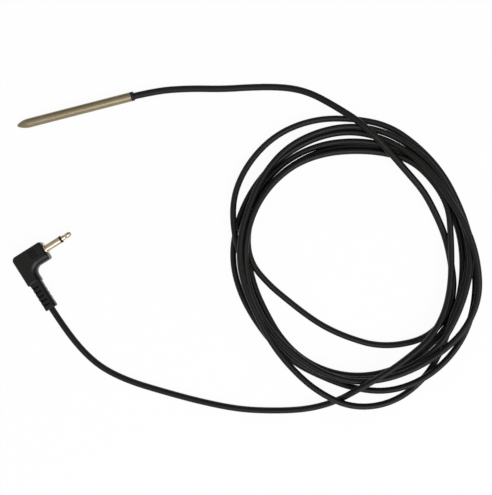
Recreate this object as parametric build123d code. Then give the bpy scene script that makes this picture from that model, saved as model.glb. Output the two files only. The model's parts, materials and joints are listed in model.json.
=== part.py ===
from build123d import *
import math
import os

# A plug-in temperature probe: a pointed steel sheath with a thermistor inside, a loosely
# coiled two-core cable, and a moulded right-angle mono jack plug. It lies on a table.
# X runs along the sheath from its point to its cable end, Z is up, and the origin is under
# the middle of the sheath on the table. All sizes are in millimetres.

# Steel sheath, a thin tube closed to a blunt point
SHEATH_LENGTH = 57.4
SHEATH_DIAMETER = 4.5
SHEATH_WALL = 0.3
NOSE_RADIUS = 0.9
POINT_LENGTH = 6.0

# Rubber seal in the open end of the sheath
SEAL_FLANGE_LENGTH = 1.6
SEAL_EDGE_RADIUS = 0.4
SEAL_SPIGOT_LENGTH = 6.0

# Clearance round pieces that slide into one another
FIT_GAP = 0.05

# Cable and its two insulated cores
CABLE_DIAMETER = 2.8
CORE_DIAMETER = 1.0
CORE_SPACING = 1.1
STRAND_DIAMETER = 0.5
CABLE_HEIGHT = 1.5

# Thermistor, its legs and the splices behind it
BEAD_DIAMETER = 2.4
BEAD_LENGTH = 4.0
BEAD_SETBACK = 2.6
LEG_DIAMETER = 0.3
LEG_LENGTH = 13.0
SLEEVE_SETBACK = 2.0
SLEEVE_DIAMETER = 0.9
SLEEVE_BORE = 0.4
SPLICE_LENGTH = 3.5
SPLICE_DIAMETER = 0.95
SPLICE_BORE = 0.6
LEG_IN_SPLICE = 1.5
BARE_LENGTH = 2.0
STRAND_IN_SPLICE = 1.5
POTTING_COVER = 5.0
JACKET_IN_SHEATH = 7.0

# Jack, turned from brass and plated
JACK_DIAMETER = 3.5
JACK_LENGTH = 14.5
TIP_LENGTH = 5.2
RING_LENGTH = 0.9
FLANGE_DIAMETER = 6.0
FLANGE_PROUD = 0.5
FLANGE_SUNK = 0.8
TAIL_DIAMETER = 4.0
TAIL_LENGTH = 3.7
SPACER_DIAMETER = 2.2
ROD_DIAMETER = 1.2
ROD_OVERHANG = 1.2
WASHER_LENGTH = 0.8
TIP_COLLAR_DIAMETER = 2.6
TIP_COLLAR_LENGTH = 0.6
TIP_NECK_DIAMETER = 2.2
TIP_NECK_AT = 1.9
TIP_HEAD_DIAMETER = 2.6
TIP_HEAD_AT = 3.0
TIP_HEAD_LENGTH = 0.9
TIP_END_DIAMETER = 1.7
TIP_END_RADIUS = 0.6

# Solder lugs behind the jack
LUG_THICKNESS = 0.4
LUG_WIDTH = 1.8
TIP_LUG_DROP = 1.4
TIP_LUG_DIAMETER = 3.4
SLEEVE_LUG_RISE = 2.35
SLEEVE_LUG_DIAMETER = 5.0
SOLDER_DIAMETER = 1.1
SOLDER_LENGTH = 1.0

# Moulded plug housing, an elbow that lies on its flat side
HOUSING_LENGTH = 16.4
HOUSING_THICKNESS = 7.6
FRONT_LEG_WIDTH = 9.8
JACK_OFFSET = 0.5
SIDE_LEG_WIDTH = 7.2
SIDE_LEG_DROP = 6.4
ELBOW_RADIUS = 3.2
REAR_CORNER_RADIUS = 2.2
FRONT_CORNER_RADIUS = 1.2
STEP_CORNER_RADIUS = 0.9
HOUSING_EDGE_RADIUS = 1.3
INNER_EDGE_RADIUS = 3.0
CUT_MARGIN = 0.5
GRIP_COUNT = 3
GRIP_PITCH = 1.2
GRIP_LENGTH = 4.1
GRIP_WIDTH = 0.6
GRIP_DEPTH = 0.4
GRIP_SETBACK = 4.6
GRIP_OFFSET = 0.9

# Strain relief, a slotted boot on the cable side of the housing
BOOT_LENGTH = 14.3
BOOT_WIDTH = 6.1
BOOT_THICKNESS = 5.6
BOOT_CORNER_RADIUS = 1.9
BOOT_EDGE_RADIUS = 0.5
BOOT_CORE_DIAMETER = 3.9
SLOT_COUNT = 5
SLOT_PITCH = 2.4
SLOT_START = 2.0
SLOT_WIDTH = 0.95
SLOT_REACH = 3.9
SLOT_FLOOR = 0.4

# Hard inner moulding that holds the lugs
MOULD_WALL = 1.2
MOULD_NECK_WIDTH = 4.0
JACKET_IN_HOUSING = 1.0

# Where the plug lies, and which way its jack points
PLUG_X = -30.8
PLUG_Y = -61.9
PLUG_TURN = 17.8

# Route of each end of the cable: straight out of its seal or boot, then on the table to the coil
PROBE_STRAIGHT = 9.9
PROBE_ROUTE = [
    (57.0, -3.2),
    (72.1, -7.4),
    (85.6, -10.0),
    (97.5, -12.8),
    (107.3, -16.2),
    (115.1, -21.1),
    (122.0, -27.8),
    (127.5, -34.0),
    (131.3, -38.9),
]
PLUG_STRAIGHT = 7.0
PLUG_ROUTE = [
    (-22.7, -120.0),
    (-9.7, -133.0),
    (10.6, -145.9),
    (25.7, -154.3),
    (41.5, -161.8),
    (56.5, -166.3),
    (69.9, -169.2),
    (80.9, -169.8),
    (90.3, -168.5),
]
BEND_SHARE = 0.45

# Coil, read like a clock face: its radius at each hour from twelve round to eleven
COIL_X = 112.6
COIL_Y = -105.4
TWELVE_ANGLE = 75.6
COIL_HEIGHT = 7.6
COIL_EDGE_RADIUS = 1.2
COIL_OUTER_RADII = [71.3, 66.5, 60.6, 63.1, 66.8, 68.9, 71.5, 61.3, 56.7, 59.5, 67.6, 72.9]
COIL_INNER_RADII = [52.7, 50.4, 46.2, 47.0, 49.8, 45.0, 36.2, 32.8, 35.5, 47.8, 52.9, 54.0]
# The innermost strand cuts across the lower part of the coil and leaves a lens-shaped gap
LENS_START = (4.6, 50.6)
LENS_END = (8.75, 47.6)
LENS_OUTER_RADII = [53.1, 54.5, 51.2, 47.5]
LENS_INNER_RADII = [47.8, 39.0, 35.6, 38.3]
LENS_FIRST_HOUR = 5

# Places worked out from the sizes
tip_x = -(SHEATH_LENGTH + SEAL_FLANGE_LENGTH) / 2
mouth_x = tip_x + SHEATH_LENGTH
sheath_radius = SHEATH_DIAMETER / 2
bore_radius = sheath_radius - SHEATH_WALL
bead_start_x = tip_x + SHEATH_WALL + BEAD_SETBACK
bead_end_x = bead_start_x + BEAD_LENGTH
sleeve_start_x = bead_end_x + SLEEVE_SETBACK
leg_end_x = bead_end_x + LEG_LENGTH
splice_start_x = leg_end_x - LEG_IN_SPLICE
splice_end_x = splice_start_x + SPLICE_LENGTH
strand_start_x = splice_end_x - STRAND_IN_SPLICE
jacket_end_x = mouth_x - JACKET_IN_SHEATH
core_offsets = (-CORE_SPACING / 2, CORE_SPACING / 2)

sleeve_end_x = JACK_LENGTH - TIP_LENGTH - RING_LENGTH
ring_end_x = sleeve_end_x + RING_LENGTH
tail_end_x = -FLANGE_SUNK - TAIL_LENGTH
washer_end_x = tail_end_x - WASHER_LENGTH
rod_start_x = washer_end_x - LUG_THICKNESS - ROD_OVERHANG
side_leg_x = SIDE_LEG_WIDTH / 2 - HOUSING_LENGTH
outer_y = FRONT_LEG_WIDTH / 2 - JACK_OFFSET
inner_y = -FRONT_LEG_WIDTH / 2 - JACK_OFFSET
inner_x = SIDE_LEG_WIDTH - HOUSING_LENGTH
step_y = inner_y - SIDE_LEG_DROP
boot_end_y = step_y - BOOT_LENGTH
jacket_start_y = step_y + JACKET_IN_HOUSING
signal_core_x = side_leg_x + CORE_SPACING / 2
return_core_x = side_leg_x - CORE_SPACING / 2
plug_place = Location((PLUG_X, PLUG_Y, HOUSING_THICKNESS / 2), (0, 0, PLUG_TURN))


def turned(outline):
    """A solid turned about the X axis from its (x, radius) points."""
    return revolve(make_face(Polyline(*outline, close=True)), Axis.X)


def rod(start_x, end_x, diameter, y=0.0):
    """A round bar along X."""
    bar = Cylinder(diameter / 2, end_x - start_x, align=(Align.CENTER, Align.CENTER, Align.MIN))
    return Pos(start_x, y, 0) * Rot(0, 90, 0) * bar


def post(start_y, end_y, diameter, x):
    """A round bar along Y, from its lower to its upper end."""
    bar = Cylinder(diameter / 2, end_y - start_y, align=(Align.CENTER, Align.CENTER, Align.MIN))
    return Pos(x, start_y, 0) * Rot(-90, 0, 0) * bar


def block(x_range, y_range, z_range):
    """A rectangular block between the given limits."""
    size = [limits[1] - limits[0] for limits in (x_range, y_range, z_range)]
    middle = [sum(limits) / 2 for limits in (x_range, y_range, z_range)]
    return Pos(*middle) * Box(*size)


def pointed_rod(nose_x, end_x, radius, nose_radius, point_length):
    """A bar along X whose left end is a ball nose running into an arc tangent to the bar."""
    reach = point_length - nose_radius
    arc_radius = (reach**2 + radius**2 - nose_radius**2) / (2 * (radius - nose_radius))
    nose_x_centre = nose_x + nose_radius
    shoulder = (nose_x + point_length, radius)
    blend_angle = math.atan2(arc_radius - radius, -reach)

    def on_nose(angle):
        return (nose_x_centre + nose_radius * math.cos(angle), nose_radius * math.sin(angle))

    def on_arc(angle):
        return (
            shoulder[0] + arc_radius * math.cos(angle),
            radius - arc_radius + arc_radius * math.sin(angle),
        )

    blend = on_nose(blend_angle)
    nose = ThreePointArc((nose_x, 0), on_nose((math.pi + blend_angle) / 2), blend)
    point = ThreePointArc(blend, on_arc((math.pi / 2 + blend_angle) / 2), shoulder)
    rest = Polyline(shoulder, (end_x, radius), (end_x, 0), (nose_x, 0))
    return revolve(make_face(nose + point + rest), Axis.X)


# Probe, modelled along the X axis and lifted onto the table at the end


def make_sheath():
    outside = pointed_rod(tip_x, mouth_x, sheath_radius, NOSE_RADIUS, POINT_LENGTH)
    return outside - make_cavity(mouth_x)


def make_cavity(end_x):
    """The space inside the sheath, from its point to the given place."""
    return pointed_rod(
        tip_x + SHEATH_WALL,
        end_x,
        bore_radius,
        NOSE_RADIUS - SHEATH_WALL,
        POINT_LENGTH - SHEATH_WALL,
    )


def make_bead():
    """The thermistor, a dipped bead with a round front and a flat back."""
    radius = BEAD_DIAMETER / 2
    front = ThreePointArc(
        (bead_start_x, 0),
        (bead_start_x + radius * (1 - math.sqrt(0.5)), radius * math.sqrt(0.5)),
        (bead_start_x + radius, radius),
    )
    rest = Polyline(
        (bead_start_x + radius, radius),
        (bead_end_x, radius),
        (bead_end_x, 0),
        (bead_start_x, 0),
    )
    return revolve(make_face(front + rest), Axis.X)


def make_legs():
    return [rod(bead_end_x, leg_end_x, LEG_DIAMETER, y) for y in core_offsets]


def make_sleeves():
    """Thin insulating tubes over the legs, up to the splices."""
    return [
        rod(sleeve_start_x, splice_start_x, SLEEVE_DIAMETER, y)
        - rod(sleeve_start_x, splice_start_x, SLEEVE_BORE, y)
        for y in core_offsets
    ]


def make_splices():
    """Crimped tubes that join the legs to the cable's cores."""
    return [
        rod(splice_start_x, splice_end_x, SPLICE_DIAMETER, y)
        - rod(splice_start_x, splice_end_x, SPLICE_BORE, y)
        for y in core_offsets
    ]


def make_probe_core(y):
    """An insulated core with its end stripped for the splice."""
    insulation_start_x = strand_start_x + BARE_LENGTH
    bare = rod(strand_start_x, jacket_end_x, STRAND_DIAMETER, y)
    return bare + rod(insulation_start_x, jacket_end_x, CORE_DIAMETER, y)


def make_potting(bead, legs):
    """Resin that fills the point round the thermistor and grips the ends of the sleeves."""
    end_x = bead_end_x + POTTING_COVER
    potting = make_cavity(end_x) - bead
    for leg, y in zip(legs, core_offsets):
        potting = potting - leg - rod(sleeve_start_x, end_x, SLEEVE_DIAMETER, y)
    return potting


def make_seal():
    """A rubber plug with a flange flush with the sheath and a spigot inside it."""
    flange_end_x = mouth_x + SEAL_FLANGE_LENGTH
    flange = rod(mouth_x, flange_end_x, SHEATH_DIAMETER)
    flange = fillet(flange.edges().group_by(Axis.X)[-1], SEAL_EDGE_RADIUS)
    spigot = rod(mouth_x - SEAL_SPIGOT_LENGTH, mouth_x, 2 * (bore_radius - FIT_GAP))
    hole = rod(mouth_x - SEAL_SPIGOT_LENGTH, flange_end_x, CABLE_DIAMETER + 2 * FIT_GAP)
    return flange + spigot - hole


# Plug, modelled with its jack along X and its cable towards minus Y


def make_plug_sleeve():
    """The jack's barrel, with the flange that shuts the housing and a tail inside it."""
    bore = SPACER_DIAMETER / 2 + FIT_GAP
    return turned([
        (tail_end_x, bore),
        (tail_end_x, TAIL_DIAMETER / 2),
        (-FLANGE_SUNK, TAIL_DIAMETER / 2),
        (-FLANGE_SUNK, FLANGE_DIAMETER / 2),
        (FLANGE_PROUD, FLANGE_DIAMETER / 2),
        (FLANGE_PROUD, JACK_DIAMETER / 2),
        (sleeve_end_x, JACK_DIAMETER / 2),
        (sleeve_end_x, bore),
    ])


def make_tip_insulator():
    """A thin tube between barrel and rod, ending in the ring that shows."""
    bore = ROD_DIAMETER / 2 + FIT_GAP
    return turned([
        (tail_end_x, bore),
        (tail_end_x, SPACER_DIAMETER / 2),
        (sleeve_end_x, SPACER_DIAMETER / 2),
        (sleeve_end_x, JACK_DIAMETER / 2),
        (ring_end_x, JACK_DIAMETER / 2),
        (ring_end_x, bore),
    ])


def make_rear_insulator():
    outside = rod(washer_end_x, tail_end_x, TAIL_DIAMETER)
    return outside - rod(washer_end_x, tail_end_x, ROD_DIAMETER + 2 * FIT_GAP)


def make_plug_tip():
    """The jack's tip, with a waist for the socket's spring, and the rod behind it."""
    tip = turned([
        (rod_start_x, 0),
        (rod_start_x, ROD_DIAMETER / 2),
        (ring_end_x, ROD_DIAMETER / 2),
        (ring_end_x, TIP_COLLAR_DIAMETER / 2),
        (ring_end_x + TIP_COLLAR_LENGTH, TIP_COLLAR_DIAMETER / 2),
        (ring_end_x + TIP_NECK_AT, TIP_NECK_DIAMETER / 2),
        (ring_end_x + TIP_HEAD_AT, TIP_HEAD_DIAMETER / 2),
        (ring_end_x + TIP_HEAD_AT + TIP_HEAD_LENGTH, TIP_HEAD_DIAMETER / 2),
        (JACK_LENGTH, TIP_END_DIAMETER / 2),
        (JACK_LENGTH, 0),
    ])
    return fillet(tip.edges().group_by(Axis.X)[-1], TIP_END_RADIUS)


def make_tip_lug():
    """A washer on the rod with a tail bent back under the axis."""
    washer_x = washer_end_x - LUG_THICKNESS
    washer = rod(washer_x, washer_end_x, TIP_LUG_DIAMETER)
    tail = block(
        (signal_core_x - CORE_SPACING / 2 + FIT_GAP, washer_end_x),
        (-TIP_LUG_DROP - LUG_THICKNESS / 2, -TIP_LUG_DROP + LUG_THICKNESS / 2),
        (-LUG_WIDTH / 2, LUG_WIDTH / 2),
    )
    return washer + tail - rod(washer_x, washer_end_x, ROD_DIAMETER)


def make_sleeve_lug():
    """A washer behind the flange with a tail that runs back over the axis."""
    washer_x = -FLANGE_SUNK - LUG_THICKNESS
    washer = rod(washer_x, -FLANGE_SUNK, SLEEVE_LUG_DIAMETER)
    tail = block(
        (return_core_x - CORE_DIAMETER / 2, -FLANGE_SUNK),
        (SLEEVE_LUG_RISE - LUG_THICKNESS / 2, SLEEVE_LUG_RISE + LUG_THICKNESS / 2),
        (-LUG_WIDTH / 2, LUG_WIDTH / 2),
    )
    return washer + tail - rod(washer_x, -FLANGE_SUNK, TAIL_DIAMETER)


def make_plug_core(x, lug_y):
    """An insulated core that rises from the cable's jacket to the underside of its lug."""
    bare = post(jacket_start_y, lug_y, STRAND_DIAMETER, x)
    return bare + post(jacket_start_y, lug_y - BARE_LENGTH, CORE_DIAMETER, x)


def make_solder_joint(x, lug_y, core):
    """A cone of solder between a lug and the bare strands below it."""
    cone = Cone(
        STRAND_DIAMETER / 2 + FIT_GAP,
        SOLDER_DIAMETER / 2,
        SOLDER_LENGTH,
        align=(Align.CENTER, Align.CENTER, Align.MIN),
    )
    return Pos(x, lug_y - SOLDER_LENGTH, 0) * Rot(-90, 0, 0) * cone - core


def make_mould_shape():
    """The outside of the inner moulding: a block behind the flange and a neck down to the cable."""
    top_y = outer_y - MOULD_WALL
    height = HOUSING_THICKNESS / 2 - MOULD_WALL
    head = block((MOULD_WALL - HOUSING_LENGTH, -FLANGE_SUNK), (-top_y, top_y), (-height, height))
    neck = block(
        (side_leg_x - MOULD_NECK_WIDTH / 2, side_leg_x + MOULD_NECK_WIDTH / 2),
        (jacket_start_y, -top_y),
        (-height, height),
    )
    return head + neck


def make_elbow():
    """The solid elbow of the housing, with its corners and edges rounded."""
    corners = [
        ((0, outer_y), FRONT_CORNER_RADIUS),
        ((-HOUSING_LENGTH, outer_y), REAR_CORNER_RADIUS),
        ((-HOUSING_LENGTH, step_y), STEP_CORNER_RADIUS),
        ((inner_x, step_y), STEP_CORNER_RADIUS),
        ((inner_x, inner_y), ELBOW_RADIUS),
        ((0, inner_y), FRONT_CORNER_RADIUS),
    ]
    outline = FilletPolyline(
        *[place for place, radius in corners],
        radius=[radius for place, radius in corners],
        close=True,
    )
    elbow = extrude(make_face(outline), HOUSING_THICKNESS / 2, both=True)
    flat_edges = elbow.edges().group_by(Axis.Z)[0] + elbow.edges().group_by(Axis.Z)[-1]
    elbow = fillet(flat_edges, HOUSING_EDGE_RADIUS)
    return elbow - make_inner_rounding() - make_grips()


def make_inner_rounding():
    """What is taken off the elbow's two inner edges, which are far rounder than the others."""
    path = FilletPolyline(
        (CUT_MARGIN, inner_y),
        (inner_x, inner_y),
        (inner_x, step_y - CUT_MARGIN),
        radius=ELBOW_RADIUS,
    )
    side = INNER_EDGE_RADIUS + CUT_MARGIN
    corner = Rectangle(side, side, align=(Align.MAX, Align.MIN)) - Circle(INNER_EDGE_RADIUS)
    upper = Pos(INNER_EDGE_RADIUS, HOUSING_THICKNESS / 2 - INNER_EDGE_RADIUS) * corner
    start = Plane(origin=(CUT_MARGIN, inner_y, 0), x_dir=(0, 1, 0), z_dir=(-1, 0, 0))
    return [sweep(start * section, path=path) for section in (upper, mirror(upper, Plane.XZ))]


def make_grips():
    """Short grooves for the thumb and the finger, on both flat sides of the front leg."""
    grips = []
    for number in range(GRIP_COUNT):
        x = -GRIP_SETBACK - number * GRIP_PITCH
        for side in (-1, 1):
            face_z = side * HOUSING_THICKNESS / 2
            groove = Box(GRIP_WIDTH, GRIP_LENGTH, 2 * GRIP_DEPTH)
            grips.append(Pos(x, GRIP_OFFSET, face_z) * groove)
    return grips


def make_boot():
    """The strain relief: a boot with slots in its upper half and others between them in its lower half."""
    section = Plane.XZ * RectangleRounded(BOOT_WIDTH, BOOT_THICKNESS, BOOT_CORNER_RADIUS)
    boot = Pos(side_leg_x, step_y, 0) * extrude(section, BOOT_LENGTH)
    boot = fillet(boot.edges().group_by(Axis.Y)[0], BOOT_EDGE_RADIUS)
    core = post(boot_end_y, step_y, BOOT_CORE_DIAMETER, side_leg_x)
    half = SLOT_WIDTH / 2
    upper_x = (side_leg_x - BOOT_WIDTH, side_leg_x - BOOT_WIDTH / 2 + SLOT_REACH)
    lower_x = (side_leg_x + BOOT_WIDTH / 2 - SLOT_REACH, side_leg_x + BOOT_WIDTH)
    slots = []
    for number in range(SLOT_COUNT):
        y = step_y - SLOT_START - number * SLOT_PITCH
        slots.append(block(upper_x, (y - half, y + half), (SLOT_FLOOR, BOOT_THICKNESS)))
        if number < SLOT_COUNT - 1:
            between = y - SLOT_PITCH / 2
            limits = (between - half, between + half)
            slots.append(block(lower_x, limits, (-BOOT_THICKNESS, -SLOT_FLOOR)))
    for slot in slots:
        boot = boot - (slot - core)
    return boot


def make_housing():
    """The soft overmoulding: elbow and boot in one piece round the inner moulding."""
    flange_seat = rod(-FLANGE_SUNK, FLANGE_PROUD, FLANGE_DIAMETER)
    lead_bore = post(boot_end_y, jacket_start_y, CABLE_DIAMETER + 2 * FIT_GAP, side_leg_x)
    return make_elbow() + make_boot() - make_mould_shape() - flange_seat - lead_bore


def make_inner_mould(held):
    """The hard moulding, shaped round the jack's tail, the lugs and the ends of the cores."""
    tail = rod(washer_end_x, -FLANGE_SUNK, TAIL_DIAMETER)
    rivet = rod(rod_start_x, washer_end_x, ROD_DIAMETER)
    mould = make_mould_shape() - tail - rivet
    for piece in held:
        mould = mould - piece
    return mould


# Cable


def cable_path(points):
    """Straight runs joined by tangent arcs, each as large as its two runs allow."""
    spots = [Vector(*point) for point in points]
    radii = []
    for before, here, after in zip(spots, spots[1:], spots[2:]):
        turn = math.radians((here - before).get_angle(after - here))
        shorter = min((here - before).length, (after - here).length)
        radii.append(BEND_SHARE * shorter / math.tan(turn / 2))
    print("bend radii", [round(radius, 1) for radius in radii])
    return FilletPolyline(*points, radius=radii)


def make_cable(name, points):
    path = cable_path(points)
    section = Plane(path @ 0, z_dir=path % 0) * Circle(CABLE_DIAMETER / 2)
    cable = sweep(section, path=path)
    expected = path.length * math.pi * CABLE_DIAMETER**2 / 4
    print(name, "length", round(path.length, 1), "volume over expected", round(cable.volume / expected, 5))
    return cable


def on_clock(hour, radius):
    """A place on the table at an hour and radius of the coil's clock face."""
    angle = math.radians(TWELVE_ANGLE - 30 * hour)
    return (COIL_X + radius * math.cos(angle), COIL_Y + radius * math.sin(angle))


def clock_face(radii):
    places = [on_clock(hour, radius) for hour, radius in enumerate(radii)]
    return make_face(Spline(*places, periodic=True))


def make_coil():
    """The outer shape of the coiled cable: a ring, crossed low down by its innermost strand."""
    hours = range(LENS_FIRST_HOUR, LENS_FIRST_HOUR + len(LENS_OUTER_RADII))
    outer = [on_clock(hour, radius) for hour, radius in zip(hours, LENS_OUTER_RADII)]
    inner = [on_clock(hour, radius) for hour, radius in zip(hours, LENS_INNER_RADII)]
    start = on_clock(*LENS_START)
    end = on_clock(*LENS_END)
    lens = make_face(Spline(start, *outer, end) + Spline(end, *reversed(inner), start))
    ring = clock_face(COIL_OUTER_RADII) - clock_face(COIL_INNER_RADII) - lens
    coil = extrude(ring, COIL_HEIGHT)
    outer_edges = [edges.sort_by(SortBy.LENGTH)[-1] for edges in coil.edges().group_by(Axis.Z)[::2]]
    return fillet(outer_edges, COIL_EDGE_RADIUS)


def main():
    bead = make_bead()
    legs = make_legs()
    probe = {
        "probe_sheath": [make_sheath()],
        "thermistor_bead": [bead],
        "thermistor_legs": legs,
        "leg_sleeves": make_sleeves(),
        "splice_crimps": make_splices(),
        "probe_signal_core": [make_probe_core(core_offsets[0])],
        "probe_return_core": [make_probe_core(core_offsets[1])],
        "probe_potting": [make_potting(bead, legs)],
        "end_seal": [make_seal()],
    }

    coil = make_coil()
    probe_exit_x = mouth_x + SEAL_FLANGE_LENGTH + PROBE_STRAIGHT
    probe_points = [(x, 0, sheath_radius) for x in (jacket_end_x, probe_exit_x)]
    probe_points += [(x, y, CABLE_HEIGHT) for x, y in PROBE_ROUTE]
    plug_exit_y = boot_end_y - PLUG_STRAIGHT
    plug_points = [
        tuple((plug_place * Pos(side_leg_x, y, 0)).position) for y in (jacket_start_y, plug_exit_y)
    ]
    plug_points += [(x, y, CABLE_HEIGHT) for x, y in PLUG_ROUTE]
    cable = {
        "probe_lead": [make_cable("probe_lead", probe_points) - coil],
        "cable_coil": [coil],
        "plug_lead": [make_cable("plug_lead", plug_points) - coil],
    }

    signal_lug_y = -TIP_LUG_DROP - LUG_THICKNESS / 2
    return_lug_y = SLEEVE_LUG_RISE - LUG_THICKNESS / 2
    signal_core = make_plug_core(signal_core_x, signal_lug_y)
    return_core = make_plug_core(return_core_x, return_lug_y)
    solder = [
        make_solder_joint(signal_core_x, signal_lug_y, signal_core),
        make_solder_joint(return_core_x, return_lug_y, return_core),
    ]
    lugs = [make_tip_lug(), make_sleeve_lug()]
    plug = {
        "plug_housing": [make_housing()],
        "plug_inner_mould": [make_inner_mould([*lugs, signal_core, return_core, *solder])],
        "plug_sleeve": [make_plug_sleeve()],
        "plug_tip": [make_plug_tip()],
        "tip_insulator": [make_tip_insulator()],
        "rear_insulator": [make_rear_insulator()],
        "tip_lug": [lugs[0]],
        "sleeve_lug": [lugs[1]],
        "plug_signal_core": [signal_core],
        "plug_return_core": [return_core],
        "plug_solder_joints": solder,
    }

    os.makedirs("parts", exist_ok=True)
    for place, group in ((Pos(0, 0, sheath_radius), probe), (Pos(0, 0, 0), cable), (plug_place, plug)):
        for name, pieces in group.items():
            export_step(Compound(children=[place * piece for piece in pieces]), f"parts/{name}.step")


main()
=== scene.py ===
import json
import math

import bpy
import numpy as np
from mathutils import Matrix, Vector


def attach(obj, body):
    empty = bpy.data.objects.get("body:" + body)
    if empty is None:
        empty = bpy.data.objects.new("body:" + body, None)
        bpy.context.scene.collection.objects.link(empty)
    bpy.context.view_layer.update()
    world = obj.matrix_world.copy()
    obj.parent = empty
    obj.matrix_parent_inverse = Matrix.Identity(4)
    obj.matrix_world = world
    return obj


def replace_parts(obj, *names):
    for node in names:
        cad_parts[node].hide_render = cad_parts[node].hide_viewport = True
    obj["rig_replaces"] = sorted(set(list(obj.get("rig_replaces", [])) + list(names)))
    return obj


# A plug-in temperature probe lying on a white table, seen from straight above. Sizes and places
# are in millimetres until they reach the scene, which is in metres.

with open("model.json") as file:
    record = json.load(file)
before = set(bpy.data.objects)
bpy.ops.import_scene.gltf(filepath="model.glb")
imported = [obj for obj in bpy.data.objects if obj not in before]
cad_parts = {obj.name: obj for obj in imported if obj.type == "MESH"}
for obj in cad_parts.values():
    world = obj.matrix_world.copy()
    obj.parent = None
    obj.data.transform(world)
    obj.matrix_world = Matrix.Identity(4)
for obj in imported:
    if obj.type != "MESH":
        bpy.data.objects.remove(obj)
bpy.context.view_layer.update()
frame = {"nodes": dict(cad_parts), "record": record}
nodes = frame["nodes"]
record = frame["record"]
MM = 0.001

# Camera: the place on the table under it, its height, and how the picture is turned on the table
CAMERA_PLACE = (64.1, -85.6)
CAMERA_HEIGHT = 402.0
FOCUS_HEIGHT = 2.25
PICTURE_TURN = -14.43
PICTURE_WIDTH = 241.1
SENSOR_WIDTH = 36.0

# Cable: a soft two-core lead, a little wider than it is thick. It leaves the probe flat, turns
# along its first stretch, and lies nearly on edge in the coil.
CABLE_WIDTH = 3.3
CABLE_THICKNESS = 3.0
REST_HEIGHT = 1.64
FLAT_UNTIL = 110
ON_EDGE_FROM = 330
EDGE_TURN = 80
RING_SPACING = 1.5
RING_CORNERS = 20
LINE_STEPS = 6

# Route of each end of the cable, as the table sees it, from the seal and from the boot to the coil.
# The first two points at each end also have the height at which the seal or the boot holds them.
HELD_POINTS = [0, 1, -2, -1]
PROBE_START = [(20.9, 0, 2.25), (39.4, 0, 2.25)]
PROBE_ROUTE = [
    (57.0, -3.2),
    (72.1, -7.4),
    (85.6, -10.0),
    (97.4, -12.9),
    (107.0, -16.5),
    (114.6, -21.5),
    (121.5, -28.3),
    (127.0, -34.4),
    (130.9, -39.2),
]
PLUG_START = [(-39.69, -76.1, 3.8), (-33.4, -97.5, 3.8)]
PLUG_ROUTE = [
    (-23.4, -120.2),
    (-10.1, -133.4),
    (10.6, -145.9),
    (25.7, -154.3),
    (41.5, -161.8),
    (56.5, -166.3),
    (69.9, -169.2),
    (80.9, -169.8),
    (90.3, -168.5),
]

# Where the probe's end crosses over the top of the coil on its way in
CROSSING = [(136.5, -47.3), (140.4, -53.6)]

# The coil is read like a clock face. Each turn has its radius at every hour, the first from one
# o'clock and the others from twelve, and a few half hours where a turn swings out or in.
COIL_PLACE = (112.75, -105.6)
TWELVE_ANGLE = 75.6
HOUR_ANGLE = 30
FIRST_HOUR = 1
TURN_RADII = [
    [52.0, 47.2, 48.3, 53.6, 46.4, 37.4, 34.0, 36.8, 49.1, 54.6, 55.8],
    [57.0, 57.8, 55.4, 54.0, 55.1, 56.0, 55.7, 52.6, 48.8, 50.6, 56.1, 59.0],
    [59.1, 59.5, 57.3, 56.6, 56.2, 67.0, 70.2, 59.6, 53.4, 54.9, 57.5, 64.1],
    [66.1, 63.0, 58.3, 58.0, 57.7, 58.4, 57.1, 55.0, 51.9, 53.9, 66.3, 72.2],
    [70.1, 64.8, 58.5, 59.5, 64.8, 66.6, 61.2, 56.4, 55.3, 58.2, 59.9, 62.0],
    [63.9, 59.9, 56.9, 61.1, 63.9, 60.2, 58.2, 53.4, 51.7, 52.4, 54.2, 55.1],
    [54.5, 57.0, 53.8, 48.5, 51.4, 54.1, 63.7],
]
HALF_HOUR = 0.5
HALF_HOUR_RADII = {
    1.5: 49.1,
    4.5: 51.3,
    8.5: 42.0,
    9.5: 53.0,
    15.5: 54.4,
    16.5: 55.5,
    28.5: 61.2,
    29.5: 70.8,
    30.5: 65.1,
    36.5: 65.2,
    39.5: 57.3,
    40.5: 58.9,
    48.5: 68.5,
    49.5: 61.2,
    53.5: 65.0,
    54.5: 57.8,
    60.5: 62.0,
    63.5: 63.8,
    64.5: 61.9,
    72.5: 55.5,
    74.5: 49.9,
    76.5: 53.0,
    77.5: 57.3,
}

# How the turns lie on one another: a higher number lies over a lower one. Each turn is given at
# one, three, five, seven, nine and eleven o'clock.
LEVEL_HOURS = 2
TURN_LEVELS = [
    [8.0, 1.0, 1.0, 1.0, 2.0, 2.1],
    [1.0, 2.3, 2.0, 2.0, 1.0, 1.9],
    [2.0, 2.6, 2.4, 6.0, 4.0, 5.5],
    [3.5, 4.0, 2.6, 2.5, 1.3, 6.0],
    [3.0, 2.9, 4.0, 1.5, 0.5, 2.0],
    [4.5, 6.0, 5.0, 4.0, 3.0, 2.5],
    [3.0, 5.0, 6.0, 3.0],
]

# How the cable settles: it sinks, evens out and is drawn back to where it is seen, less and less
# over the easing part of the steps, while turns that touch push one another apart. Turns that come
# near enough to touch are looked up again every so many steps.
SETTLE_STEPS = 1000
EASING_PART = 0.85
LEAST_EASE = 0.04
SINK = 0.02
EVENING = 0.06
DRAW_BACK = 0.5
PUSH = 0.6
SPREAD = 2.0
SPOTS_PER_SPAN = 8
SAME_STRETCH = 6 * SPOTS_PER_SPAN
PAIR_STEPS = 100
PAIR_REACH = CABLE_WIDTH + 1
LEAST_DISTANCE = 1e-6
PASS_ROUNDS = 12

# Surfaces: most values of a noise lie between its low and high one. Drawn and turned metal has a
# fine noise that is stretched along the metal.
NOISE_LOW = 0.3
NOISE_HIGH = 0.7
LINE_STRETCH = 0.03
LINE_SCALE = 6000
EDGE_SAMPLES = 6

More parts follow.
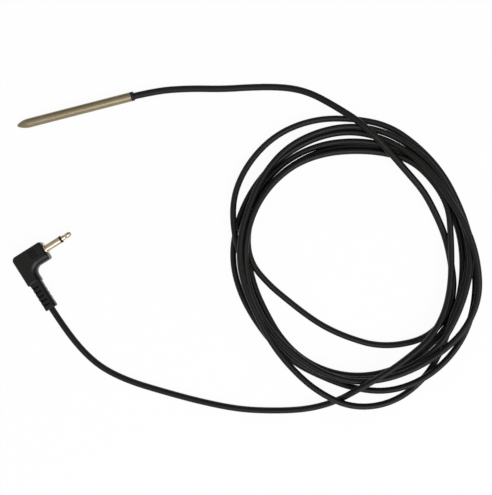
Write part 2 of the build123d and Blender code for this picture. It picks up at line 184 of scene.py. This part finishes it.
# Slots and grooves, where shade is painted: how far round a spot walls count, how open a spot is where
# it is all hidden and all open, and the painted shade colour and the roughness deep inside
RECESS_REACH = 1.5
RECESS_HIDDEN = 0.4
RECESS_OPEN = 0.85
RECESS_SAMPLES = 8
RECESS_SHADE_COLOUR = (0.001, 0.001, 0.001)
RECESS_ROUGHNESS = 0.95

# Finishes that are seen: the colour's dark and light tone, the least and most roughness, the scale
# of patches and grain, the relief's depth, the gloss and the radius that softens sharp edges. The
# cable's grain follows its place on the straight cable, and the jack's lines follow the plug's turn.
PLUG_TURN = 17.8
MOULDED_FINISHES = {
    "cable_jacket": {
        "dark": (0.003, 0.003, 0.0027),
        "light": (0.008, 0.008, 0.0072),
        "rough": (0.38, 0.5),
        "patch": 220,
        "grain": 5000,
        "depth": 0.006,
        "gloss": 0.22,
        "attribute": "straight_place",
    },
    "plug_mould": {
        "dark": (0.0015, 0.0015, 0.0011),
        "light": (0.0035, 0.0035, 0.0028),
        "rough": (0.27, 0.35),
        "patch": 300,
        "grain": 4200,
        "depth": 0.004,
        "gloss": 0.3,
        "edge": 0.25,
    },
    "seal_rubber": {
        "dark": (0.005, 0.005, 0.005),
        "light": (0.012, 0.012, 0.012),
        "rough": (0.45, 0.6),
        "patch": 500,
        "grain": 6000,
        "depth": 0.015,
        "gloss": 0.25,
    },
    "ring_plastic": {
        "dark": (0.002, 0.002, 0.002),
        "light": (0.005, 0.005, 0.005),
        "rough": (0.3, 0.4),
        "patch": 500,
        "grain": 6000,
        "depth": 0.005,
        "gloss": 0.12,
    },
}
DRAWN_FINISHES = {
    "sheath_steel": {
        "dark": (0.243, 0.194, 0.119),
        "light": (0.324, 0.27, 0.18),
        "rough": (0.34, 0.44),
        "patch": 160,
        "depth": 0.0015,
    },
    "plated_brass": {
        "dark": (0.44, 0.365, 0.25),
        "light": (0.55, 0.485, 0.37),
        "rough": (0.17, 0.25),
        "patch": 260,
        "depth": 0.001,
        "turn": PLUG_TURN,
    },
}

# Finishes of the pieces inside, in shades of the record's colours
INNER_METALS = ("lug_brass", "leg_wire", "splice_copper", "solder")
INNER_METAL_SHADES = (0.75, 1.1)
INNER_METAL = {"rough": (0.25, 0.4), "patch": 400, "depth": 0.005, "turn": PLUG_TURN}
INNER_PLASTIC_SHADES = (0.8, 1.1)
INNER_PLASTIC = {"rough": (0.35, 0.5), "patch": 400, "grain": 5000, "depth": 0.015}

# Table: half its side in metres, its colour, and the share of it that glows to the eye
TABLE_REACH = 3.0
TABLE_COLOUR = (0.95, 0.95, 0.95)
TABLE_ROUGHNESS = 0.9
TABLE_GLOW = 0.95

# Room: its plain light, and its reflections, which grow brighter along a direction to the picture's
# right, up and towards the eye, from the ramp's start to its end
ROOM_LIGHT = 0.5
DARK_SIDE = 0.08
BRIGHT_SIDE = 0.7
BRIGHT_TOWARDS = (-0.3, -0.74, 0.6)
RAMP_START = -0.6
RAMP_END = 0.4

# Key lamp: its place to the picture's right and up, its height and its side in metres, and its watts
KEY_RIGHT = 0.47
KEY_UP = -0.63
KEY_HEIGHT = 1.0
KEY_SIDE = 0.95
KEY_POWER = 10.5


# Node helpers


def add_node(tree, kind, **settings):
    """A node with its properties set by name."""
    node = tree.nodes.new(kind)
    for name, value in settings.items():
        setattr(node, name, value)
    return node


def join(tree, source, target):
    """A link from one node's output to another's input."""
    tree.links.new(source, target)


# Cable


def on_clock(hour, radius):
    """A place on the table at an hour and radius of the coil's clock face."""
    angle = math.radians(TWELVE_ANGLE - HOUR_ANGLE * hour)
    return (COIL_PLACE[0] + radius * math.cos(angle), COIL_PLACE[1] + radius * math.sin(angle))


def coil_stations():
    """The hour and radius at each half hour along the turns, which run smoothly between the hours."""
    radii = [radius for turn in TURN_RADII for radius in turn]
    last = len(radii) - 1
    stations = []
    for number, radius in enumerate(radii):
        hour = FIRST_HOUR + number
        stations.append((hour, radius))
        if number < last:
            inner = radius + radii[number + 1]
            outer = radii[max(number - 1, 0)] + radii[min(number + 2, last)]
            smooth = (9 * inner - outer) / 16
            half = hour + HALF_HOUR
            stations.append((half, HALF_HOUR_RADII.get(half, smooth)))
    return stations


def pass_through(places, coil):
    """Moves the coil's points so that the spline's line runs through their places."""
    points = places.copy()
    for _ in range(PASS_ROUNDS):
        line = points.copy()
        line[1:-1] = (points[:-2] + 6 * points[1:-1] + points[2:]) / 8
        points[coil] += (places - line)[coil]
    return points


def span_weights(count):
    """Rows that turn values at the spline's points into values at spots along it."""
    rows = []
    for middle in range(1, count - 1):
        for share in np.arange(SPOTS_PER_SPAN) / SPOTS_PER_SPAN:
            row = np.zeros(count)
            row[middle - 1] = 0.5 * (1 - share) ** 2
            row[middle] = 0.5 + share - share * share
            row[middle + 1] = 0.5 * share * share
            rows.append(row)
    return np.array(rows)


def pushes(spots, upper, lower):
    """How far each spot is pushed by the turns that it touches and by the table.

    Turns already in their order push straight apart. Where the upper one isn't a quarter of a
    thickness above the lower one yet, it is lifted over it.
    """
    on_edge = CABLE_WIDTH / CABLE_THICKNESS
    apart = spots[upper] - spots[lower]
    apart[:, 2] /= on_edge
    gap = np.linalg.norm(apart[:, :2], axis=1)
    distance = np.maximum(np.linalg.norm(apart, axis=1), LEAST_DISTANCE)
    rise = apart[:, 2]
    in_order = rise > CABLE_THICKNESS / 4
    depth = np.where(in_order, np.maximum(CABLE_THICKNESS - distance, 0), 0)
    move = apart * (depth / distance)[:, None]
    needed = np.sqrt(np.maximum(CABLE_THICKNESS**2 - gap**2, 0))
    move[:, 2] += np.where(in_order | (needed == 0), 0, np.maximum(needed - rise, 0))
    move[:, 2] *= on_edge
    push = np.zeros_like(spots)
    np.add.at(push, upper, PUSH / 2 * move)
    np.add.at(push, lower, -PUSH / 2 * move)
    push[:, 2] += np.maximum(REST_HEIGHT - spots[:, 2], 0)
    return push


def settle(seen, levels, coil, held_heights):
    """The spline's points, moved so that the cable lies on the table and on the turns under it."""
    weights = span_weights(len(seen))
    spread = SPREAD * weights.T / weights.sum(axis=0)[:, None]
    level = weights @ levels
    number = np.arange(len(weights))
    elsewhere = abs(number[:, None] - number[None, :]) > SAME_STRETCH
    over = elsewhere & (level[:, None] > level[None, :])
    from_camera = seen - CAMERA_PLACE
    points = np.column_stack([seen, np.full(len(seen), REST_HEIGHT)])
    heights = points[:, 2]
    for step in range(SETTLE_STEPS):
        ease = max(1 - step / (EASING_PART * SETTLE_STEPS), LEAST_EASE)
        heights[1:-1] += ease * EVENING * (heights[:-2] - 2 * heights[1:-1] + heights[2:])
        heights -= ease * SINK
        sight = (CAMERA_HEIGHT - heights) / (CAMERA_HEIGHT - FOCUS_HEIGHT)
        target = CAMERA_PLACE + from_camera * sight[:, None]
        points[coil, :2] += ease * DRAW_BACK * (target - points[:, :2])[coil]
        heights[HELD_POINTS] = held_heights
        spots = weights @ points
        if step % PAIR_STEPS == 0:
            gaps = np.linalg.norm(spots[:, None, :2] - spots[None, :, :2], axis=2)
            upper, lower = np.nonzero(over & (gaps < PAIR_REACH))
        change = spread @ pushes(spots, upper, lower)
        heights += change[:, 2]
        points[coil, :2] += change[coil, :2]
    heights[HELD_POINTS] = held_heights
    return points


def cable_points():
    """The spline's points: the probe's end, the turns of the coil and the plug's end."""
    way_in = [place[:2] for place in PROBE_START] + PROBE_ROUTE + CROSSING
    way_out = PLUG_ROUTE[::-1] + [place[:2] for place in PLUG_START[::-1]]
    turns = [on_clock(hour, radius) for hour, radius in coil_stations()]
    coil = slice(len(way_in), len(way_in) + len(turns))
    seen = pass_through(np.array(way_in + turns + way_out, float), coil)
    level_table = [level for turn in TURN_LEVELS for level in turn]
    level_hours = FIRST_HOUR + LEVEL_HOURS * np.arange(len(level_table))
    hours = FIRST_HOUR + HALF_HOUR * (np.arange(len(seen)) - coil.start)
    levels = np.interp(hours, level_hours, level_table)
    held_heights = [place[2] for place in PROBE_START + PLUG_START[::-1]]
    return settle(seen, levels, coil, held_heights) * MM


def make_cable_line(points):
    """The cable's centreline as one open spline."""
    curve = bpy.data.curves.new("cable", "CURVE")
    curve.dimensions = "3D"
    curve.resolution_u = LINE_STEPS
    curve.twist_mode = "Z_UP"
    spline = curve.splines.new("NURBS")
    spline.points.add(len(points) - 1)
    for point, place in zip(spline.points, points):
        point.co = (*place, 1.0)
    spline.order_u = 3
    spline.use_endpoint_u = True
    line = bpy.data.objects.new("cable_line", curve)
    bpy.context.collection.objects.link(line)
    return line


def line_places(line):
    """Places along a bare curve, in order."""
    bpy.context.view_layer.update()
    mesh = bpy.data.meshes.new_from_object(line)
    places = [tuple(vertex.co) for vertex in mesh.vertices]
    bpy.data.meshes.remove(mesh)
    return places


def jacket_tree():
    """Geometry nodes that sweep an oval along a line.

    Each spot keeps its place on the straight cable, so that the finish follows the cable's bends.
    """
    tree = bpy.data.node_groups.new("cable jacket", "GeometryNodeTree")
    tree.interface.new_socket("Geometry", in_out="INPUT", socket_type="NodeSocketGeometry")
    for name in ("Width", "Thickness", "Ring Spacing", "Flat Until", "On Edge From"):
        tree.interface.new_socket(name, in_out="INPUT", socket_type="NodeSocketFloat")
    tree.interface.new_socket("Material", in_out="INPUT", socket_type="NodeSocketMaterial")
    tree.interface.new_socket("Geometry", in_out="OUTPUT", socket_type="NodeSocketGeometry")
    given = add_node(tree, "NodeGroupInput")
    result = add_node(tree, "NodeGroupOutput")

    rings = add_node(tree, "GeometryNodeResampleCurve", mode="LENGTH")
    join(tree, given.outputs["Geometry"], rings.inputs["Curve"])
    join(tree, given.outputs["Ring Spacing"], rings.inputs["Length"])

    along = add_node(tree, "GeometryNodeSplineParameter")
    turn = add_node(tree, "ShaderNodeMapRange", interpolation_type="SMOOTHSTEP")
    turn.inputs["To Max"].default_value = math.radians(EDGE_TURN)
    join(tree, along.outputs["Length"], turn.inputs["Value"])
    join(tree, given.outputs["Flat Until"], turn.inputs["From Min"])
    join(tree, given.outputs["On Edge From"], turn.inputs["From Max"])
    tilt = add_node(tree, "GeometryNodeSetCurveTilt")
    join(tree, rings.outputs["Curve"], tilt.inputs["Curve"])
    join(tree, turn.outputs["Result"], tilt.inputs["Tilt"])

    keep_along = add_node(tree, "GeometryNodeCaptureAttribute")
    keep_along.capture_items.new("FLOAT", "Along")
    join(tree, tilt.outputs["Curve"], keep_along.inputs["Geometry"])
    join(tree, along.outputs["Length"], keep_along.inputs["Along"])

    circle = add_node(tree, "GeometryNodeCurvePrimitiveCircle")
    circle.inputs["Resolution"].default_value = RING_CORNERS
    circle.inputs["Radius"].default_value = 0.5
    size = add_node(tree, "ShaderNodeCombineXYZ")
    size.inputs["Z"].default_value = 1
    join(tree, given.outputs["Width"], size.inputs["X"])
    join(tree, given.outputs["Thickness"], size.inputs["Y"])
    oval = add_node(tree, "GeometryNodeTransform")
    join(tree, circle.outputs["Curve"], oval.inputs["Geometry"])
    join(tree, size.outputs["Vector"], oval.inputs["Scale"])
    position = add_node(tree, "GeometryNodeInputPosition")
    keep_around = add_node(tree, "GeometryNodeCaptureAttribute")
    keep_around.capture_items.new("VECTOR", "Around")
    join(tree, oval.outputs["Geometry"], keep_around.inputs["Geometry"])
    join(tree, position.outputs["Position"], keep_around.inputs["Around"])

    sweep = add_node(tree, "GeometryNodeCurveToMesh")
    sweep.inputs["Fill Caps"].default_value = True
    join(tree, keep_along.outputs["Geometry"], sweep.inputs["Curve"])
    join(tree, keep_around.outputs["Geometry"], sweep.inputs["Profile Curve"])

    split = add_node(tree, "ShaderNodeSeparateXYZ")
    place = add_node(tree, "ShaderNodeCombineXYZ")
    join(tree, keep_around.outputs["Around"], split.inputs["Vector"])
    join(tree, split.outputs["X"], place.inputs["Y"])
    join(tree, split.outputs["Y"], place.inputs["Z"])
    join(tree, keep_along.outputs["Along"], place.inputs["X"])
    store = add_node(
        tree,
        "GeometryNodeStoreNamedAttribute",
        data_type="FLOAT_VECTOR",
        domain="POINT",
    )
    store.inputs["Name"].default_value = "straight_place"
    join(tree, sweep.outputs["Mesh"], store.inputs["Geometry"])
    join(tree, place.outputs["Vector"], store.inputs["Value"])

    smooth = add_node(tree, "GeometryNodeSetShadeSmooth")
    join(tree, store.outputs["Geometry"], smooth.inputs["Geometry"])
    whole = add_node(tree, "GeometryNodeRealizeInstances")
    join(tree, smooth.outputs["Geometry"], whole.inputs["Geometry"])
    coat = add_node(tree, "GeometryNodeSetMaterial")
    join(tree, whole.outputs["Geometry"], coat.inputs["Geometry"])
    join(tree, given.outputs["Material"], coat.inputs["Material"])
    join(tree, coat.outputs["Geometry"], result.inputs["Geometry"])
    return tree


def shaped(source, tree, name, **inputs):
    """A plain mesh object made from a source object by a geometry nodes tree."""
    modifier = source.modifiers.new(name, "NODES")
    modifier.node_group = tree
    for item in tree.interface.items_tree:
        if item.in_out == "INPUT" and item.name in inputs:
            modifier[item.identifier] = inputs[item.name]
    bpy.context.view_layer.update()
    view = bpy.context.evaluated_depsgraph_get()
    mesh = bpy.data.meshes.new_from_object(source.evaluated_get(view), depsgraph=view)
    source.modifiers.remove(modifier)
    piece = bpy.data.objects.new(name, mesh)
    bpy.context.collection.objects.link(piece)
    return piece


def make_cable(material):
    """The whole cable, from the seal, where it leaves the probe, round the coil and into the boot."""
    line = make_cable_line(cable_points())
    places = line_places(line)
    sizes = {
        "Width": CABLE_WIDTH * MM,
        "Thickness": CABLE_THICKNESS * MM,
        "Ring Spacing": RING_SPACING * MM,
        "Flat Until": FLAT_UNTIL * MM,
        "On Edge From": ON_EDGE_FROM * MM,
        "Material": material,
    }
    cable = shaped(line, jacket_tree(), "cable", **sizes)
    bpy.data.objects.remove(line)
    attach(cable, "root")
    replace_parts(cable, "probe_lead", "cable_coil", "plug_lead")


# Materials


def skin_group():
    """Soft mottling and fine grain for moulded, extruded and cast surfaces."""
    tree = bpy.data.node_groups.new("moulded skin", "ShaderNodeTree")
    tree.interface.new_socket("Vector", in_out="INPUT", socket_type="NodeSocketVector")
    tree.interface.new_socket("Patch Scale", in_out="INPUT", socket_type="NodeSocketFloat")
    tree.interface.new_socket("Grain Scale", in_out="INPUT", socket_type="NodeSocketFloat")
    for name in ("Tone", "Grain"):
        tree.interface.new_socket(name, in_out="OUTPUT", socket_type="NodeSocketFloat")
    given = add_node(tree, "NodeGroupInput")
    result = add_node(tree, "NodeGroupOutput")
    patches = add_node(tree, "ShaderNodeTexNoise")
    patches.inputs["Detail"].default_value = 4
    grain = add_node(tree, "ShaderNodeTexNoise")
    grain.inputs["Detail"].default_value = 3
    for texture, scale in ((patches, "Patch Scale"), (grain, "Grain Scale")):
        join(tree, given.outputs["Vector"], texture.inputs["Vector"])
        join(tree, given.outputs[scale], texture.inputs["Scale"])
    join(tree, patches.outputs["Fac"], result.inputs["Tone"])
    join(tree, grain.outputs["Fac"], result.inputs["Grain"])
    return tree


def drawn_group():
    """Fine lines along X, as drawing and turning leave them, over soft patches of tint."""
    tree = bpy.data.node_groups.new("drawn metal", "ShaderNodeTree")
    tree.interface.new_socket("Vector", in_out="INPUT", socket_type="NodeSocketVector")
    tree.interface.new_socket("Patch Scale", in_out="INPUT", socket_type="NodeSocketFloat")
    for name in ("Tone", "Lines"):
        tree.interface.new_socket(name, in_out="OUTPUT", socket_type="NodeSocketFloat")
    given = add_node(tree, "NodeGroupInput")
    result = add_node(tree, "NodeGroupOutput")
    patches = add_node(tree, "ShaderNodeTexNoise")
    patches.inputs["Detail"].default_value = 3
    join(tree, given.outputs["Vector"], patches.inputs["Vector"])
    join(tree, given.outputs["Patch Scale"], patches.inputs["Scale"])
    stretch = add_node(tree, "ShaderNodeMapping")
    stretch.inputs["Scale"].default_value = (LINE_STRETCH, 1, 1)
    lines = add_node(tree, "ShaderNodeTexNoise")
    lines.inputs["Scale"].default_value = LINE_SCALE
    lines.inputs["Detail"].default_value = 2
    join(tree, given.outputs["Vector"], stretch.inputs["Vector"])
    join(tree, stretch.outputs["Vector"], lines.inputs["Vector"])
    join(tree, patches.outputs["Fac"], result.inputs["Tone"])
    join(tree, lines.outputs["Fac"], result.inputs["Lines"])
    return tree


def base_material(name):
    """A new material, its node tree and its surface shader."""
    material = bpy.data.materials.new(name)
    material.use_nodes = True
    tree = material.node_tree
    return material, tree, tree.nodes["Principled BSDF"]


def tinted(tree, mask, dark, light, target):
    """Feeds a colour between two tones, chosen by a mask, to a shader's socket."""
    mix = add_node(tree, "ShaderNodeMix", data_type="RGBA")
    mix.inputs["A"].default_value = (*dark, 1)
    mix.inputs["B"].default_value = (*light, 1)
    join(tree, mask, mix.inputs["Factor"])
    join(tree, mix.outputs["Result"], target)


def ranged(tree, mask, low, high, target):
    """Feeds a value between two limits, chosen by a mask, to a shader's socket."""
    spread = add_node(tree, "ShaderNodeMapRange")
    spread.inputs["From Min"].default_value = NOISE_LOW
    spread.inputs["From Max"].default_value = NOISE_HIGH
    spread.inputs["To Min"].default_value = low
    spread.inputs["To Max"].default_value = high
    join(tree, mask, spread.inputs["Value"])
    join(tree, spread.outputs["Result"], target)


def bumped(tree, height, depth, edge, shader):
    """Raises a fine relief on a surface whose sharp edges are softened to a small radius."""
    soft_edge = add_node(tree, "ShaderNodeBevel", samples=EDGE_SAMPLES)
    soft_edge.inputs["Radius"].default_value = edge * MM
    bump = add_node(tree, "ShaderNodeBump")
    bump.inputs["Distance"].default_value = depth * MM
    join(tree, soft_edge.outputs["Normal"], bump.inputs["Normal"])
    join(tree, height, bump.inputs["Height"])
    join(tree, bump.outputs["Normal"], shader.inputs["Normal"])


def paint_recess_shade(material):
    """Paints shade into the floors and walls of narrow slots and grooves, which turn blacker and
    duller than the open skin.
    """
    tree = material.node_tree
    shader = tree.nodes["Principled BSDF"]
    walls = add_node(
        tree,
        "ShaderNodeAmbientOcclusion",
        samples=RECESS_SAMPLES,
        only_local=True,
    )
    walls.inputs["Distance"].default_value = RECESS_REACH * MM
    open_share = add_node(tree, "ShaderNodeMapRange")
    open_share.inputs["From Min"].default_value = RECESS_HIDDEN
    open_share.inputs["From Max"].default_value = RECESS_OPEN
    join(tree, walls.outputs["AO"], open_share.inputs["Value"])
    # Painted shade: a near black colour, together with a high roughness, where the walls hide a spot
    deep_shade_and_roughness = (
        ("Base Color", "RGBA", (*RECESS_SHADE_COLOUR, 1)),
        ("Roughness", "FLOAT", RECESS_ROUGHNESS),
    )
    for socket, kind, deep in deep_shade_and_roughness:
        mix = add_node(tree, "ShaderNodeMix", data_type=kind)
        mix.inputs["A"].default_value = deep
        join(tree, open_share.outputs["Result"], mix.inputs["Factor"])
        join(tree, shader.inputs[socket].links[0].from_socket, mix.inputs["B"])
        join(tree, mix.outputs["Result"], shader.inputs[socket])


def moulded(slot, dark, light, rough, patch, grain, depth, gloss=0.5, edge=0.15, attribute=None):
    """Plastic, rubber or resin: mottled colour, uneven gloss and a fine grain."""
    material, tree, shader = base_material(slot)
    skin = add_node(tree, "ShaderNodeGroup", node_tree=SKIN_GROUP)
    skin.inputs["Patch Scale"].default_value = patch
    skin.inputs["Grain Scale"].default_value = grain
    if attribute:
        place = add_node(tree, "ShaderNodeAttribute", attribute_name=attribute)
        join(tree, place.outputs["Vector"], skin.inputs["Vector"])
    else:
        place = add_node(tree, "ShaderNodeTexCoord")
        join(tree, place.outputs["Object"], skin.inputs["Vector"])
    shader.inputs["Specular IOR Level"].default_value = gloss
    tinted(tree, skin.outputs["Tone"], dark, light, shader.inputs["Base Color"])
    ranged(tree, skin.outputs["Tone"], *rough, shader.inputs["Roughness"])
    bumped(tree, skin.outputs["Grain"], depth, edge, shader)
    return material


def drawn(slot, dark, light, rough, patch, depth, turn=0.0, edge=0.1):
    """Metal with fine lines along its axis, which lies at a turn from X on the table."""
    material, tree, shader = base_material(slot)
    place = add_node(tree, "ShaderNodeTexCoord")
    turned = add_node(tree, "ShaderNodeMapping")
    turned.inputs["Rotation"].default_value = (0, 0, -math.radians(turn))
    metal = add_node(tree, "ShaderNodeGroup", node_tree=DRAWN_GROUP)
    metal.inputs["Patch Scale"].default_value = patch
    join(tree, place.outputs["Object"], turned.inputs["Vector"])
    join(tree, turned.outputs["Vector"], metal.inputs["Vector"])
    shader.inputs["Metallic"].default_value = 1
    tinted(tree, metal.outputs["Tone"], dark, light, shader.inputs["Base Color"])
    ranged(tree, metal.outputs["Lines"], *rough, shader.inputs["Roughness"])
    bumped(tree, metal.outputs["Lines"], depth, edge, shader)
    return material


def shades(colour, shares):
    """Shares of one colour, such as a darker and a lighter tone of it."""
    return [[share * value for value in colour] for share in shares]


SKIN_GROUP = skin_group()
DRAWN_GROUP = drawn_group()


def make_materials():
    """One finish for each slot of the record."""
    made = {slot: moulded(slot, **finish) for slot, finish in MOULDED_FINISHES.items()}
    # Painted shade in the slots and grooves of the plug mould
    paint_recess_shade(made["plug_mould"])
    for slot, finish in DRAWN_FINISHES.items():
        made[slot] = drawn(slot, **finish)
    slot_colours = {entry["slot"]: entry["base_color"][:3] for entry in record["materials"]}
    for slot, colour in slot_colours.items():
        if slot in INNER_METALS:
            made[slot] = drawn(slot, *shades(colour, INNER_METAL_SHADES), **INNER_METAL)
        elif slot not in made:
            made[slot] = moulded(slot, *shades(colour, INNER_PLASTIC_SHADES), **INNER_PLASTIC)
    return made


# Table, light and camera


def larger(tree, first, second):
    """The larger of two values."""
    larger_one = add_node(tree, "ShaderNodeMath", operation="MAXIMUM")
    join(tree, first, larger_one.inputs[0])
    join(tree, second, larger_one.inputs[1])
    return larger_one.outputs["Value"]


def mirrored(tree, path):
    """One where a ray comes from a reflection or through a clear material, and nought elsewhere."""
    return larger(tree, path.outputs["Is Glossy Ray"], path.outputs["Is Transmission Ray"])


def under_camera(height):
    """The place below the camera, at a height in metres."""
    return Vector((CAMERA_PLACE[0] * MM, CAMERA_PLACE[1] * MM, height))


def picture_direction(right, up):
    """A direction on the table from its share to the picture's right and up."""
    turn = math.radians(PICTURE_TURN)
    x = right * math.cos(turn) - up * math.sin(turn)
    y = right * math.sin(turn) + up * math.cos(turn)
    return x, y


def make_table():
    """A white table top that stays white to the eye and still takes the shadows."""
    reach = TABLE_REACH
    mesh = bpy.data.meshes.new("table")
    corners = [(-reach, -reach, 0), (reach, -reach, 0), (reach, reach, 0), (-reach, reach, 0)]
    mesh.from_pydata(corners, [], [(0, 1, 2, 3)])
    table = bpy.data.objects.new("table", mesh)
    table.location = under_camera(0)
    bpy.context.collection.objects.link(table)
    material, tree, shader = base_material("white_table")
    shader.inputs["Base Color"].default_value = (*TABLE_COLOUR, 1)
    shader.inputs["Roughness"].default_value = TABLE_ROUGHNESS
    shader.inputs["Specular IOR Level"].default_value = 0
    glow = add_node(tree, "ShaderNodeEmission")
    glow.inputs["Strength"].default_value = 1
    share = add_node(tree, "ShaderNodeMath", operation="MULTIPLY")
    share.inputs[1].default_value = TABLE_GLOW
    mix = add_node(tree, "ShaderNodeMixShader")
    path = add_node(tree, "ShaderNodeLightPath")
    join(tree, larger(tree, path.outputs["Is Camera Ray"], mirrored(tree, path)), share.inputs[0])
    join(tree, share.outputs["Value"], mix.inputs["Fac"])
    join(tree, shader.outputs["BSDF"], mix.inputs[1])
    join(tree, glow.outputs["Emission"], mix.inputs[2])
    join(tree, mix.outputs["Shader"], tree.nodes["Material Output"].inputs["Surface"])
    mesh.materials.append(material)


def make_world():
    """A white room, whose reflections grow darker towards the top of the picture."""
    world = bpy.data.worlds.new("room")
    bpy.context.scene.world = world
    world.use_nodes = True
    tree = world.node_tree
    background = tree.nodes["Background"]
    background.inputs["Color"].default_value = (1, 1, 1, 1)
    right, up, rise = BRIGHT_TOWARDS
    direction = add_node(tree, "ShaderNodeTexCoord")
    towards = add_node(tree, "ShaderNodeVectorMath", operation="DOT_PRODUCT")
    towards.inputs[1].default_value = (*picture_direction(right, up), rise)
    ramp = add_node(tree, "ShaderNodeMapRange", interpolation_type="SMOOTHSTEP")
    ramp.inputs["From Min"].default_value = RAMP_START
    ramp.inputs["From Max"].default_value = RAMP_END
    ramp.inputs["To Min"].default_value = DARK_SIDE
    ramp.inputs["To Max"].default_value = BRIGHT_SIDE
    path = add_node(tree, "ShaderNodeLightPath")
    light = add_node(tree, "ShaderNodeMix", data_type="FLOAT")
    light.inputs["A"].default_value = ROOM_LIGHT
    shown = add_node(tree, "ShaderNodeMix", data_type="FLOAT")
    shown.inputs["B"].default_value = 1
    join(tree, direction.outputs["Generated"], towards.inputs[0])
    join(tree, towards.outputs["Value"], ramp.inputs["Value"])
    join(tree, mirrored(tree, path), light.inputs["Factor"])
    join(tree, ramp.outputs["Result"], light.inputs["B"])
    join(tree, path.outputs["Is Camera Ray"], shown.inputs["Factor"])
    join(tree, light.outputs["Result"], shown.inputs["A"])
    join(tree, shown.outputs["Result"], background.inputs["Strength"])


def make_key_lamp():
    """A square lamp that faces the object from a place beside and above it."""
    lamp = bpy.data.lights.new("key", "AREA")
    lamp.size = KEY_SIDE
    lamp.energy = KEY_POWER
    key = bpy.data.objects.new("key", lamp)
    away = Vector((*picture_direction(KEY_RIGHT, KEY_UP), KEY_HEIGHT))
    key.location = under_camera(0) + away
    key.rotation_euler = away.to_track_quat("Z", "Y").to_euler()
    bpy.context.collection.objects.link(key)


def make_camera():
    """A camera that looks straight down, with the picture's width in view at the focus height."""
    camera = bpy.data.cameras.new("camera")
    camera.sensor_fit = "HORIZONTAL"
    camera.sensor_width = SENSOR_WIDTH
    camera.lens = SENSOR_WIDTH * (CAMERA_HEIGHT - FOCUS_HEIGHT) / PICTURE_WIDTH
    view = bpy.data.objects.new("camera", camera)
    view.location = under_camera(CAMERA_HEIGHT * MM)
    view.rotation_euler = (0, 0, math.radians(PICTURE_TURN))
    bpy.context.collection.objects.link(view)
    bpy.context.scene.camera = view


# Scene

finishes = make_materials()
node_slots = {entry["node"]: entry["material_slot"] for entry in record["subparts"]}
for node_name, node in nodes.items():
    node.data.materials.clear()
    node.data.materials.append(finishes[node_slots[node_name]])
make_cable(finishes["cable_jacket"])

make_table()
make_world()
make_key_lamp()
make_camera()
bpy.context.scene.view_settings.view_transform = "Standard"
